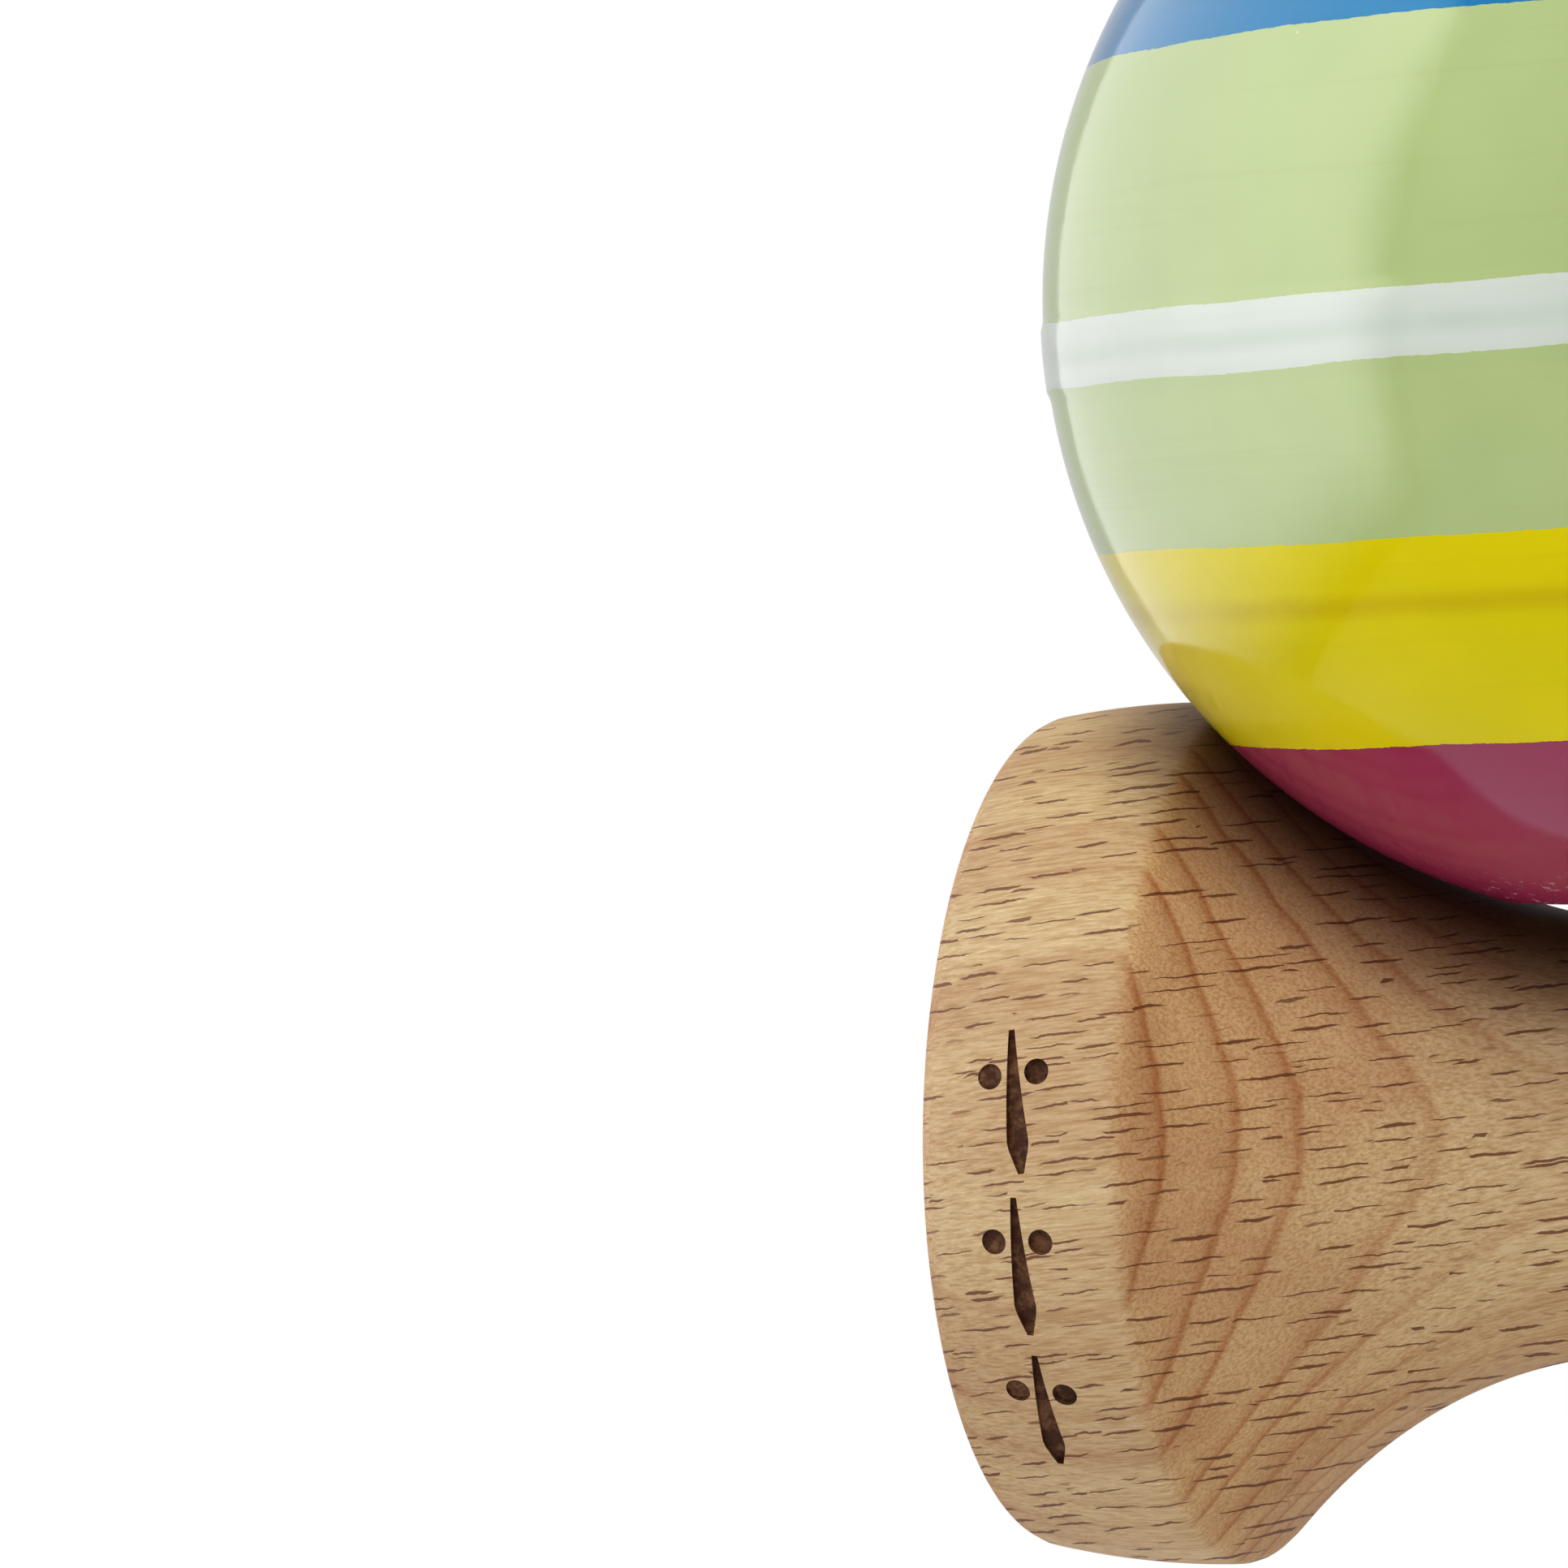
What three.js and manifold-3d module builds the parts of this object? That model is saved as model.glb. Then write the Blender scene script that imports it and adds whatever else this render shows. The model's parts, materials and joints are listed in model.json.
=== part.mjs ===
// Kendama: a wooden cup-and-ball toy. Millimetres, +Z up.
// The handle (ken) stands on its base cup, the cross-piece (sarado) sits on the handle's shoulder with
// its two cups along X, and the ball (tama) rests on the spike, beside the big cup at -X.
// The origin is under the middle of the toy, on the surface that it stands on.

import * as THREE from 'three';
import { mergeVertices } from 'three/addons/utils/BufferGeometryUtils.js';
import Module from 'manifold-3d';

// ---- Driving dimensions -------------------------------------------------------------------------

const FIT_GAP = 0.3; // radial and axial gap between the handle and the cross-piece
const REST_GAP = 0.2; // between the ball and the cup that it rests against

// Handle (ken)
const AXIS_HEIGHT = 104; // height of the cross-piece's axis above the base
const BASE_RADIUS = 17.5; // widest radius of the base cup
const BASE_BAND = 5; // height of the base cup's widest point
const BASE_RIM_RADIUS = 16.7; // outer radius of the flat rim that the toy stands on
const BASE_DISH_RADIUS = 15.2; // opening of the base cup
const BASE_DISH_DEPTH = 5.5;
const WAIST_HEIGHT = 25; // height of the thinnest part of the handle
const WAIST_RADIUS = 8.6;
const SWELL_DROP = 40; // distance of the handle's swell below the cross-piece's axis
const SWELL_RADIUS = 10.3;
const FOOT_HEIGHT = 11; // where the base cup has narrowed halfway to the waist
const FOOT_FLARE = 0.5; // how much wider than the waist the handle is halfway up to it
const SHOULDER_RADIUS = 7.6; // radius of the handle's top, which the cross-piece sits on
const SHOULDER_LENGTH = 5; // straight length of the handle's top
const SHAFT_RADIUS = 5.45; // shaft through the cross-piece
const SPIKE_TIP_RADIUS = 2.4;
const STRING_HOLE_RADIUS = 1.5;

// Cross-piece (sarado)
const HALF_LENGTH = 34.18; // from the handle's axis to either lip
const NECK_RADIUS = 10.34; // radius at the handle's axis
const FLARE_POWER = 2.52; // how late the neck flares out to the cups
const BIG_CUP = { lipRadius: 20.81, edgeRadius: 21.45, band: 10.15, rim: 2.4, dishDepth: 8.5 };
const SMALL_CUP = { lipRadius: 18.6, edgeRadius: 19.2, band: 10.15, rim: 2.4, dishDepth: 7.5 };
const BAND_BOW = 0.33; // how far a cup's band bulges between its edges
const LIP_ROUND = 0.4; // radius of the lip's outer edge

// Ball (tama)
const BALL_RADIUS = 30;
const BALL_OFFSET = 1; // of the ball's centre from the handle's axis, towards -X
const BALL_LEAN_BACK = THREE.MathUtils.degToRad(5.95); // towards +Y
const BALL_LEAN_SIDE = THREE.MathUtils.degToRad(2.08); // towards -X
const BALL_BORE_CLEARANCE = 3.3; // between the shaft and the ball's bore
const MOUTH_BEVEL_WIDTH = 0.95;
const MOUTH_BEVEL_DEPTH = 1.3;
const CROWN_WALL = 4.5; // wood above the bead's pocket
const SPIKE_TIP_CLEARANCE = 1.8; // between the spike's tip and the end of the bore
const COUNTERSINK = 1.1; // width and depth of the string hole's countersink

// Bead that holds the string's end inside the ball
const BEAD_RADIUS = 4;
const BEAD_HEIGHT = 6;
const BEAD_CHAMFER = 1.2;
const BEAD_HOLE_RADIUS = 1.3;
const BEAD_GAP = 0.5;

// ---- Sizes that follow from them ------------------------------------------------------------------

const seatDrop = Math.sqrt(NECK_RADIUS ** 2 - SHOULDER_RADIUS ** 2);
const crossBoreRadius = SHAFT_RADIUS + FIT_GAP;
const ballBoreRadius = SHAFT_RADIUS + BALL_BORE_CLEARANCE;
const mouthRadius = ballBoreRadius + MOUTH_BEVEL_WIDTH;
const mouthDrop = Math.sqrt(BALL_RADIUS ** 2 - mouthRadius ** 2); // ball's centre to its mouth
const pocketTop = BALL_RADIUS - CROWN_WALL;
const pocketFloor = pocketTop - BEAD_HEIGHT - BEAD_GAP;
const pocketRadius = BEAD_RADIUS + BEAD_GAP;

const ballTilt = new THREE.Euler(-BALL_LEAN_BACK, -BALL_LEAN_SIDE, 0);
const ballAxis = new THREE.Vector3(0, 0, 1).applyEuler(ballTilt);

// ---- Fineness of the curves -----------------------------------------------------------------------

const ROUND_SEGMENTS = 60; // round the ball and the cross-piece
const HANDLE_SEGMENTS = 48;
const SMALL_SEGMENTS = 24; // round the bead and the string holes
const DISH_STEPS = 5;
const FLARE_STEPS = 10;
const BAND_STEPS = 2;
const LIP_STEPS = 2;
const SKIN_STEPS = 26; // down the ball's side
const GRIP_STEPS = 22;
const TIP_STEPS = 4;
const REST_STEPS = 200; // places tried along a flare for the ball's rest

// ---- Helpers --------------------------------------------------------------------------------------

const wasm = await Module();
wasm.setup();

const point = (radius, height) => new THREE.Vector2(radius, height);

/** Points on an arc about (r, z) between two angles, counted from the +r direction. */
function arc(r, z, radius, from, to, steps) {
  const points = [];
  for (let i = 0; i <= steps; i++) {
    const angle = from + ((to - from) * i) / steps;
    points.push(point(r + radius * Math.cos(angle), z + radius * Math.sin(angle)));
  }
  return points;
}

/** Points of a round dish, from its middle (on the axis at floor) out to its opening at height. */
function dish(openingRadius, depth, height) {
  const sphere = (openingRadius ** 2 + depth ** 2) / (2 * depth);
  const reach = Math.asin(openingRadius / sphere);
  const direction = Math.sign(height) || -1;
  const points = [];
  for (let i = 0; i <= DISH_STEPS; i++) {
    const angle = (reach * i) / DISH_STEPS;
    const rise = depth - sphere * (1 - Math.cos(angle));
    points.push(point(sphere * Math.sin(angle), height - direction * rise));
  }
  points[0].x = 0;
  return points;
}

/** The surface that a profile of (radius, height) points sweeps round Z. */
function turned(profile, segments) {
  const geometry = new THREE.LatheGeometry(profile, segments);
  geometry.rotateX(Math.PI / 2);
  return geometry;
}

/** The closed mesh as a solid, with its faces pointing out. */
function solid(geometry) {
  const bare = geometry.clone();
  bare.deleteAttribute('normal');
  bare.deleteAttribute('uv');
  const merged = mergeVertices(bare, 1e-4);
  const vertices = Float32Array.from(merged.attributes.position.array);
  const triangles = [];
  const index = merged.index.array;
  for (let i = 0; i < index.length; i += 3) {
    const [a, b, c] = [index[i], index[i + 1], index[i + 2]];
    if (a !== b && b !== c && c !== a) triangles.push(a, b, c);
  }
  if (signedVolume(vertices, triangles) < 0) triangles.reverse();
  return new wasm.Manifold(
    new wasm.Mesh({ numProp: 3, vertProperties: vertices, triVerts: Uint32Array.from(triangles) }),
  );
}

function signedVolume(vertices, triangles) {
  const corner = (i) => new THREE.Vector3().fromArray(vertices, 3 * triangles[i]);
  let sum = 0;
  for (let i = 0; i < triangles.length; i += 3) {
    sum += corner(i).dot(corner(i + 1).cross(corner(i + 2)));
  }
  return sum / 6;
}

function geometryOf(body) {
  const mesh = body.getMesh();
  const geometry = new THREE.BufferGeometry();
  geometry.setAttribute('position', new THREE.BufferAttribute(mesh.vertProperties, mesh.numProp));
  geometry.setIndex(new THREE.BufferAttribute(mesh.triVerts, 1));
  geometry.computeVertexNormals();
  return geometry;
}

/** A round cutter along Y or Z, centred on a point. */
function cutter(radius, length, along, centre, segments) {
  const geometry = new THREE.CylinderGeometry(radius, radius, length, segments);
  if (along === 'z') geometry.rotateX(Math.PI / 2);
  geometry.translate(...centre);
  return solid(geometry);
}

function named(name, body, colour, roughness) {
  const material = new THREE.MeshStandardMaterial({ color: colour, roughness, metalness: 0 });
  const mesh = new THREE.Mesh(geometryOf(body), material);
  mesh.name = name;
  return mesh;
}

// ---- Cross-piece (sarado) -------------------------------------------------------------------------

/** Radius of the neck's flare at a distance from the handle's axis, out to a cup's inner edge. */
function flareRadius(cup, distance) {
  const share = distance / (HALF_LENGTH - cup.band);
  return NECK_RADIUS + (cup.edgeRadius - NECK_RADIUS) * share ** FLARE_POWER;
}

/** Outline of one end of the cross-piece from its dish to the handle's axis, in distances from it. */
function cupOutline(cup) {
  const outline = dish(cup.lipRadius - cup.rim, cup.dishDepth, HALF_LENGTH);
  const lipCentre = point(cup.lipRadius - LIP_ROUND, HALF_LENGTH - LIP_ROUND);
  outline.push(...arc(lipCentre.x, lipCentre.y, LIP_ROUND, Math.PI / 2, 0, LIP_STEPS));
  for (let i = 1; i <= BAND_STEPS; i++) {
    const share = i / BAND_STEPS;
    const bow = BAND_BOW * 4 * share * (1 - share);
    const radius = cup.lipRadius + (cup.edgeRadius - cup.lipRadius) * share + bow;
    outline.push(point(radius, HALF_LENGTH - LIP_ROUND - (cup.band - LIP_ROUND) * share));
  }
  for (let i = FLARE_STEPS - 1; i > 0; i--) {
    const distance = ((HALF_LENGTH - cup.band) * i) / FLARE_STEPS;
    outline.push(point(flareRadius(cup, distance), distance));
  }
  return outline;
}

function sarado() {
  const big = cupOutline(BIG_CUP);
  const small = cupOutline(SMALL_CUP).reverse();
  const neck = point(NECK_RADIUS, 0);
  const outline = [...big, neck, ...small.map((p) => point(p.x, -p.y))];
  const blank = turned(outline, ROUND_SEGMENTS);
  blank.rotateY(-Math.PI / 2); // its first end, the big cup, points to -X
  blank.translate(0, 0, AXIS_HEIGHT);
  const tall = 4 * NECK_RADIUS;
  const seat = AXIS_HEIGHT - seatDrop;
  const seatRadius = SHOULDER_RADIUS + FIT_GAP;
  const holeCentre = [0, -tall / 4, AXIS_HEIGHT];
  return solid(blank)
    .subtract(cutter(crossBoreRadius, tall, 'z', [0, 0, AXIS_HEIGHT], HANDLE_SEGMENTS))
    .subtract(cutter(seatRadius, tall, 'z', [0, 0, seat - tall / 2], HANDLE_SEGMENTS))
    .subtract(cutter(STRING_HOLE_RADIUS, tall / 2, 'y', holeCentre, SMALL_SEGMENTS));
}

// ---- Ball (tama) and its bead ---------------------------------------------------------------------

/** Height of the ball's centre above the cross-piece's axis when it rests beside the big cup. */
function restHeight() {
  const reach = BALL_RADIUS + REST_GAP;
  let height = 0;
  for (const [cup, side] of [[BIG_CUP, 1], [SMALL_CUP, -1]]) {
    const edge = HALF_LENGTH - cup.band;
    for (let i = 0; i <= REST_STEPS; i++) {
      const distance = mouthRadius + ((edge - mouthRadius) * i) / REST_STEPS;
      const across = distance - side * BALL_OFFSET;
      if (Math.abs(across) < reach) {
        const lift = Math.sqrt(reach ** 2 - across ** 2);
        height = Math.max(height, flareRadius(cup, distance) + lift);
      }
    }
  }
  return height;
}

const ballCentre = new THREE.Vector3(-BALL_OFFSET, 0, AXIS_HEIGHT + restHeight());

function tama() {
  const mouthAngle = -Math.acos(mouthRadius / BALL_RADIUS);
  const topRadius = STRING_HOLE_RADIUS + COUNTERSINK;
  const topAngle = Math.acos(topRadius / BALL_RADIUS);
  const skin = arc(0, 0, BALL_RADIUS, mouthAngle, topAngle, SKIN_STEPS);
  const inside = [
    point(STRING_HOLE_RADIUS, BALL_RADIUS - COUNTERSINK),
    point(STRING_HOLE_RADIUS, pocketTop),
    point(pocketRadius, pocketTop),
    point(pocketRadius, pocketFloor),
    point(ballBoreRadius, pocketFloor),
    point(ballBoreRadius, MOUTH_BEVEL_DEPTH - mouthDrop),
  ];
  const blank = turned([...skin, ...inside, skin[0].clone()], ROUND_SEGMENTS);
  return solid(blank);
}

function bead() {
  const half = BEAD_HEIGHT / 2;
  const outer = [
    point(BEAD_HOLE_RADIUS, -half),
    point(BEAD_RADIUS - BEAD_CHAMFER, -half),
    point(BEAD_RADIUS, BEAD_CHAMFER - half),
    point(BEAD_RADIUS, half - BEAD_CHAMFER),
    point(BEAD_RADIUS - BEAD_CHAMFER, half),
    point(BEAD_HOLE_RADIUS, half),
  ];
  return solid(turned([...outer, outer[0].clone()], SMALL_SEGMENTS));
}

// ---- Handle (ken) ---------------------------------------------------------------------------------

/** Height of the spike's tip, which stops short of the end of the ball's bore. */
function spikeTop() {
  const reach = pocketFloor - SPIKE_TIP_CLEARANCE;
  const slant = Math.hypot(ballAxis.x, ballAxis.y);
  return ballCentre.z + reach * ballAxis.z - SPIKE_TIP_RADIUS * slant;
}

function ken() {
  const seat = AXIS_HEIGHT - seatDrop - FIT_GAP;
  const swell = AXIS_HEIGHT - SWELL_DROP;
  const grip = new THREE.SplineCurve([
    point(BASE_RIM_RADIUS, 0),
    point(BASE_RADIUS, BASE_BAND),
    point((BASE_RADIUS + WAIST_RADIUS) / 2, FOOT_HEIGHT),
    point(WAIST_RADIUS + FOOT_FLARE, (FOOT_HEIGHT + WAIST_HEIGHT) / 2),
    point(WAIST_RADIUS, WAIST_HEIGHT),
    point((WAIST_RADIUS + SWELL_RADIUS) / 2, (WAIST_HEIGHT + swell) / 2),
    point(SWELL_RADIUS, swell),
    point((SWELL_RADIUS + SHOULDER_RADIUS) / 2, (swell + seat) / 2),
    point(SHOULDER_RADIUS, seat - SHOULDER_LENGTH),
  ]);
  const top = spikeTop();
  const shaftTop = AXIS_HEIGHT + NECK_RADIUS;
  const taper = (SHAFT_RADIUS - SPIKE_TIP_RADIUS) / (top - shaftTop); // the tip's arc meets it smoothly
  const tip = arc(0, top - SPIKE_TIP_RADIUS, SPIKE_TIP_RADIUS, taper, Math.PI / 2, TIP_STEPS);
  tip[tip.length - 1].x = 0;
  const outline = [
    ...dish(BASE_DISH_RADIUS, BASE_DISH_DEPTH, 0),
    ...grip.getPoints(GRIP_STEPS),
    point(SHOULDER_RADIUS, seat),
    point(SHAFT_RADIUS, seat),
    point(SHAFT_RADIUS, shaftTop),
    ...tip,
  ];
  const through = [0, 0, AXIS_HEIGHT];
  return solid(turned(outline, HANDLE_SEGMENTS))
    .subtract(cutter(STRING_HOLE_RADIUS, 4 * SHAFT_RADIUS, 'y', through, SMALL_SEGMENTS));
}

// ---- The toy --------------------------------------------------------------------------------------

const kendama = new THREE.Group();
kendama.add(named('ken', ken(), 0xcdb088, 0.6));
kendama.add(named('sarado', sarado(), 0xc8aa7d, 0.6));

const ball = new THREE.Group();
ball.position.copy(ballCentre);
ball.rotation.copy(ballTilt);
ball.add(named('tama', tama(), 0xb4c982, 0.15));
const beadMesh = named('tama_bead', bead(), 0xd8bd92, 0.5);
beadMesh.position.z = pocketFloor + BEAD_GAP / 2 + BEAD_HEIGHT / 2;
ball.add(beadMesh);
kendama.add(ball);

export default kendama;
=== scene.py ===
"""Looks of a kendama: a beech handle and cross-piece, and a ball lacquered in bands.

Every piece is turned on a lathe, so each is an outline spun round its own axis. The sizes are in
millimetres, as on the maker's drawing, and a piece's mesh ends in metres, in the frame of the CAD
part.
"""

import json
import logging
import math
from dataclasses import dataclass
from enum import Enum
from typing import Callable, Sequence

import bmesh
import bpy
from mathutils import Euler, Matrix, Quaternion, Vector


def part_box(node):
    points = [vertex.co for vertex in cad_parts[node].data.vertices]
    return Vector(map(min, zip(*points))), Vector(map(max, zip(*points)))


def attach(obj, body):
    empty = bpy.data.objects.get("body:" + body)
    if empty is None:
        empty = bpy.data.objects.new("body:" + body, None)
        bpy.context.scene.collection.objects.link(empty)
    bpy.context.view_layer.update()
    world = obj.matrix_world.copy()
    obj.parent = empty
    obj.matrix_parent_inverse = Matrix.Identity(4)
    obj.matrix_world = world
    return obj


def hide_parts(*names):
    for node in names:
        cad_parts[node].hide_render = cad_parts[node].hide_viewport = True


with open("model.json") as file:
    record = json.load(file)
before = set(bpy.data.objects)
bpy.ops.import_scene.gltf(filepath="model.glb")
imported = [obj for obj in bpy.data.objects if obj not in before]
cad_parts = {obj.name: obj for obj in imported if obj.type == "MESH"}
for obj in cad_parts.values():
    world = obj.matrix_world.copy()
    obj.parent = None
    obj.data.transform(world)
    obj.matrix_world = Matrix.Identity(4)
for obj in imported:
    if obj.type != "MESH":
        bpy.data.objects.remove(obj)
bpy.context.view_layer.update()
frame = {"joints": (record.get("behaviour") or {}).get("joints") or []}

MM = 0.001
# A round cutter is turned by these degrees, so that its edges don't lie on those of the piece.
CUTTER_TURN = 1.7
Colour = tuple[float, float, float]
Scale = tuple[float, float, float]
Outline = list[tuple[float, float]]
Socket = bpy.types.NodeSocket
log = logging.getLogger("kendama")


# ---- Shader building ----------------------------------------------------------------------------


class ShaderBench:
    """A material's node sheet, with short calls for the nodes that the finishes are made of."""

    def __init__(self, name: str) -> None:
        """Starts an empty sheet.

        Args:
            name: The material's name.
        """
        self.material = bpy.data.materials.new(name)
        self.material.use_nodes = True
        self.tree = self.material.node_tree
        self.tree.nodes.clear()
        self.coordinates = self.add("ShaderNodeTexCoord")

    def add(self, kind: str, **settings: object) -> bpy.types.Node:
        """Adds a node.

        Args:
            kind: The node's type.
            settings: Properties to set on it.

        Returns:
            The new node.
        """
        node = self.tree.nodes.new(kind)
        for key, value in settings.items():
            setattr(node, key, value)
        return node

    def feed(self, socket: Socket, value: object) -> None:
        """Links or sets an input.

        Args:
            socket: The input.
            value: An output to link, or a number or colour to set.
        """
        if isinstance(value, bpy.types.NodeSocket):
            self.tree.links.new(value, socket)
        elif socket.type == "RGBA":
            socket.default_value = (*value, 1.0)
        else:
            socket.default_value = value

    def math(self, operation: str, *values: object) -> Socket:
        """Adds a Math node.

        Args:
            operation: What it works out.
            values: Its inputs, linked or set.

        Returns:
            The result.
        """
        node = self.add("ShaderNodeMath", operation=operation)
        for socket, value in zip(node.inputs, values):
            self.feed(socket, value)
        return node.outputs[0]

    def fade(self, value: Socket, low: float, high: float) -> Socket:
        """Turns a value into a smooth step.

        Args:
            value: The value.
            low: Where the step is 0.
            high: Where it is 1.

        Returns:
            The step.
        """
        node = self.add("ShaderNodeMapRange", interpolation_type="SMOOTHSTEP")
        self.feed(node.inputs[0], value)
        self.feed(node.inputs[1], low)
        self.feed(node.inputs[2], high)
        return node.outputs[0]

    def blend(self, share: object, first: object, second: object, how: str = "MIX") -> Socket:
        """Mixes two colours.

        Args:
            share: How much of the second one, from 0 to 1.
            first: The first colour.
            second: The second colour.
            how: The blend type.

        Returns:
            The mixed colour.
        """
        node = self.add("ShaderNodeMix", data_type="RGBA", blend_type=how)
        self.feed(node.inputs[0], share)
        self.feed(node.inputs[6], first)
        self.feed(node.inputs[7], second)
        return node.outputs[2]

    def noise(self, place: Socket, scale: float, detail: float = 2.0, rough: float = 0.5) -> Socket:
        """Adds a cloudy pattern.

        Args:
            place: Where it is read.
            scale: Its cells per unit.
            detail: How many finer layers it has.
            rough: How strong they are.

        Returns:
            The pattern, about 0.5 on average.
        """
        node = self.add("ShaderNodeTexNoise")
        self.feed(node.inputs["Vector"], place)
        self.feed(node.inputs["Scale"], scale)
        self.feed(node.inputs["Detail"], detail)
        self.feed(node.inputs["Roughness"], rough)
        return node.outputs[0]

    def stretched(self, place: Socket, scale: Sequence[float]) -> Socket:
        """Scales a place by its three directions.

        Args:
            place: The place.
            scale: The three factors.

        Returns:
            The scaled place.
        """
        node = self.add("ShaderNodeVectorMath", operation="MULTIPLY")
        self.feed(node.inputs[0], place)
        self.feed(node.inputs[1], tuple(scale))
        return node.outputs[0]

    def placed(self, centre: Vector, turn: Euler) -> Socket:
        """Reads the object's coordinates in millimetres from a centre, turned.

        Args:
            centre: The centre, in metres.
            turn: The turn from the object's axes to the pattern's.

        Returns:
            The coordinates.
        """
        node = self.add("ShaderNodeMapping")
        self.feed(node.inputs["Vector"], self.coordinates.outputs["Object"])
        node.inputs["Scale"].default_value = (1 / MM,) * 3
        node.inputs["Rotation"].default_value = turn
        node.inputs["Location"].default_value = -(turn.to_matrix() @ (centre / MM))
        return node.outputs[0]

    def split(self, place: Socket) -> Sequence[Socket]:
        """Splits a place into its three numbers.

        Args:
            place: The place.

        Returns:
            The three numbers.
        """
        node = self.add("ShaderNodeSeparateXYZ")
        self.feed(node.inputs[0], place)
        return node.outputs

    def bump(self, height: Socket, depth: float, strength: float = 1.0) -> Socket:
        """Turns a height pattern into a normal.

        Args:
            height: The pattern.
            depth: How far 1 in it stands, in millimetres.
            strength: How much of it is shown.

        Returns:
            The normal.
        """
        node = self.add("ShaderNodeBump")
        self.feed(node.inputs["Strength"], strength)
        self.feed(node.inputs["Distance"], depth * MM)
        self.feed(node.inputs["Height"], height)
        return node.outputs[0]

    def finish(self, **inputs: object) -> bpy.types.Material:
        """Ends the sheet in a surface.

        Args:
            inputs: The surface's inputs, with _ for a space in their names.

        Returns:
            The material.
        """
        surface = self.add("ShaderNodeBsdfPrincipled")
        for key, value in inputs.items():
            self.feed(surface.inputs[key.replace("_", " ")], value)
        output = self.add("ShaderNodeOutputMaterial")
        self.feed(output.inputs["Surface"], surface.outputs[0])
        return self.material


# ---- Finishes -----------------------------------------------------------------------------------


class Grain(Enum):
    """Which way the wood's fibres run, as the turn that brings them to the pattern's first axis."""

    ALONG_CROSS_PIECE = math.radians(8)
    ALONG_HANDLE = math.radians(89)


@dataclass(frozen=True)
class BeechFinish:
    """Bare sanded beech: fibres, short brown ray flecks and growth rings, darker on end grain, and
    optionally a painted contact shadow round the resting ball.
    """

    name: str
    grain: Grain
    centre: Vector
    ring_tilt: float = math.radians(10.8)
    ring_depths: tuple[float, ...] = (
        -19.7, -17.1, -15.2, -12.1, -10.2, -7.6, -5.2, -3.3, -0.8,
        1.9, 3.8, 6.4, 8.3, 11.2, 13.5, 15.9, 18.4,
    )
    ring_shoulder: float = 1.1
    ring_core: float = 0.32
    ring_edge: float = 0.24
    ring_shoulder_share: float = 0.45
    ring_wave: float = 1.5
    ring_wave_scale: Scale = (0.05, 0.12, 0.12)
    ring_waver: float = 0.3
    ring_waver_scale: Scale = (0.25, 0.5, 0.6)
    ring_strength: tuple[float, float] = (0.3, 0.95)
    golden: Colour = (0.635, 0.46, 0.25)
    pinkish: Colour = (0.555, 0.365, 0.192)
    end_grain: Colour = (1.03, 0.88, 0.765)
    ring: Colour = (0.68, 0.45, 0.33)
    dark_fibre: Colour = (0.74, 0.62, 0.48)
    light_fibre: Colour = (1.22, 1.25, 1.3)
    fleck: Colour = (0.13, 0.036, 0.01)
    patch_scale: Scale = (0.035, 0.2, 0.16)
    fibre_scale: Scale = (0.5, 7.0, 7.0)
    pore_scale: Scale = (1.6, 12.0, 12.0)
    fleck_cell: Scale = (2.9, 7.0, 0.9)
    fleck_half_length: tuple[float, float] = (0.4, 1.6)
    fleck_half_width: tuple[float, float] = (0.035, 0.09)
    fleck_waver: float = 0.34
    fleck_waver_scale: Scale = (1.1, 0.4, 1.8)
    fleck_depth: float = 0.8
    fleck_strength: float = 0.92
    roughness: float = 0.55
    roughness_spread: float = 0.14
    # Painted contact shadow: the wood is darkened near the ball at rest, standing in for the shade the
    # ball casts on the cross-piece.
    contact_shadow_ball_centre: Vector | None = None
    contact_shadow_ball_radius: float = 30.0
    contact_shadow_reach: float = 7.5
    contact_shadow_colour: Colour = (0.1, 0.045, 0.035)

    def flecks(self, bench: ShaderBench, place: Socket) -> Socket:
        """Draws the ray flecks: flat lens shapes along the grain, one to a cell.

        Args:
            bench: The node sheet.
            place: The grain's coordinates, in millimetres.

        Returns:
            1 inside a fleck, 0 outside.
        """
        ragged = bench.add("ShaderNodeTexNoise")
        bench.feed(ragged.inputs["Vector"], bench.stretched(place, self.fleck_waver_scale))
        bench.feed(ragged.inputs["Scale"], 1.0)
        bench.feed(ragged.inputs["Detail"], 3.0)
        shake = bench.add("ShaderNodeVectorMath", operation="MULTIPLY_ADD")
        bench.feed(shake.inputs[0], ragged.outputs[1])
        bench.feed(shake.inputs[1], (0.0, 0.0, self.fleck_waver))
        bench.feed(shake.inputs[2], place)
        cell = bench.stretched(shake.outputs[0], [1 / size for size in self.fleck_cell])
        voronoi = bench.add("ShaderNodeTexVoronoi", voronoi_dimensions="3D", feature="F1")
        bench.feed(voronoi.inputs["Vector"], cell)
        bench.feed(voronoi.inputs["Scale"], 1.0)
        offset = bench.add("ShaderNodeVectorMath", operation="SUBTRACT")
        bench.feed(offset.inputs[0], cell)
        bench.feed(offset.inputs[1], voronoi.outputs["Position"])
        along, _, across = bench.split(bench.stretched(offset.outputs[0], self.fleck_cell))
        chance, girth, _ = bench.split(voronoi.outputs["Color"])
        shortest, longest = self.fleck_half_length
        thinnest, thickest = self.fleck_half_width
        half_length = bench.math("MULTIPLY_ADD", chance, longest - shortest, shortest)
        half_width = bench.math("MULTIPLY_ADD", girth, thickest - thinnest, thinnest)
        length_share = bench.math("POWER", bench.math("DIVIDE", along, half_length), 2.0)
        width_share = bench.math("POWER", bench.math("DIVIDE", across, half_width), 2.0)
        inside = bench.math("SUBTRACT", 1.0, bench.math("ADD", length_share, width_share))
        lens = bench.fade(inside, -0.2, 0.45)
        return bench.math("MULTIPLY", lens, bench.fade(chance, -0.1, 0.35))

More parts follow.
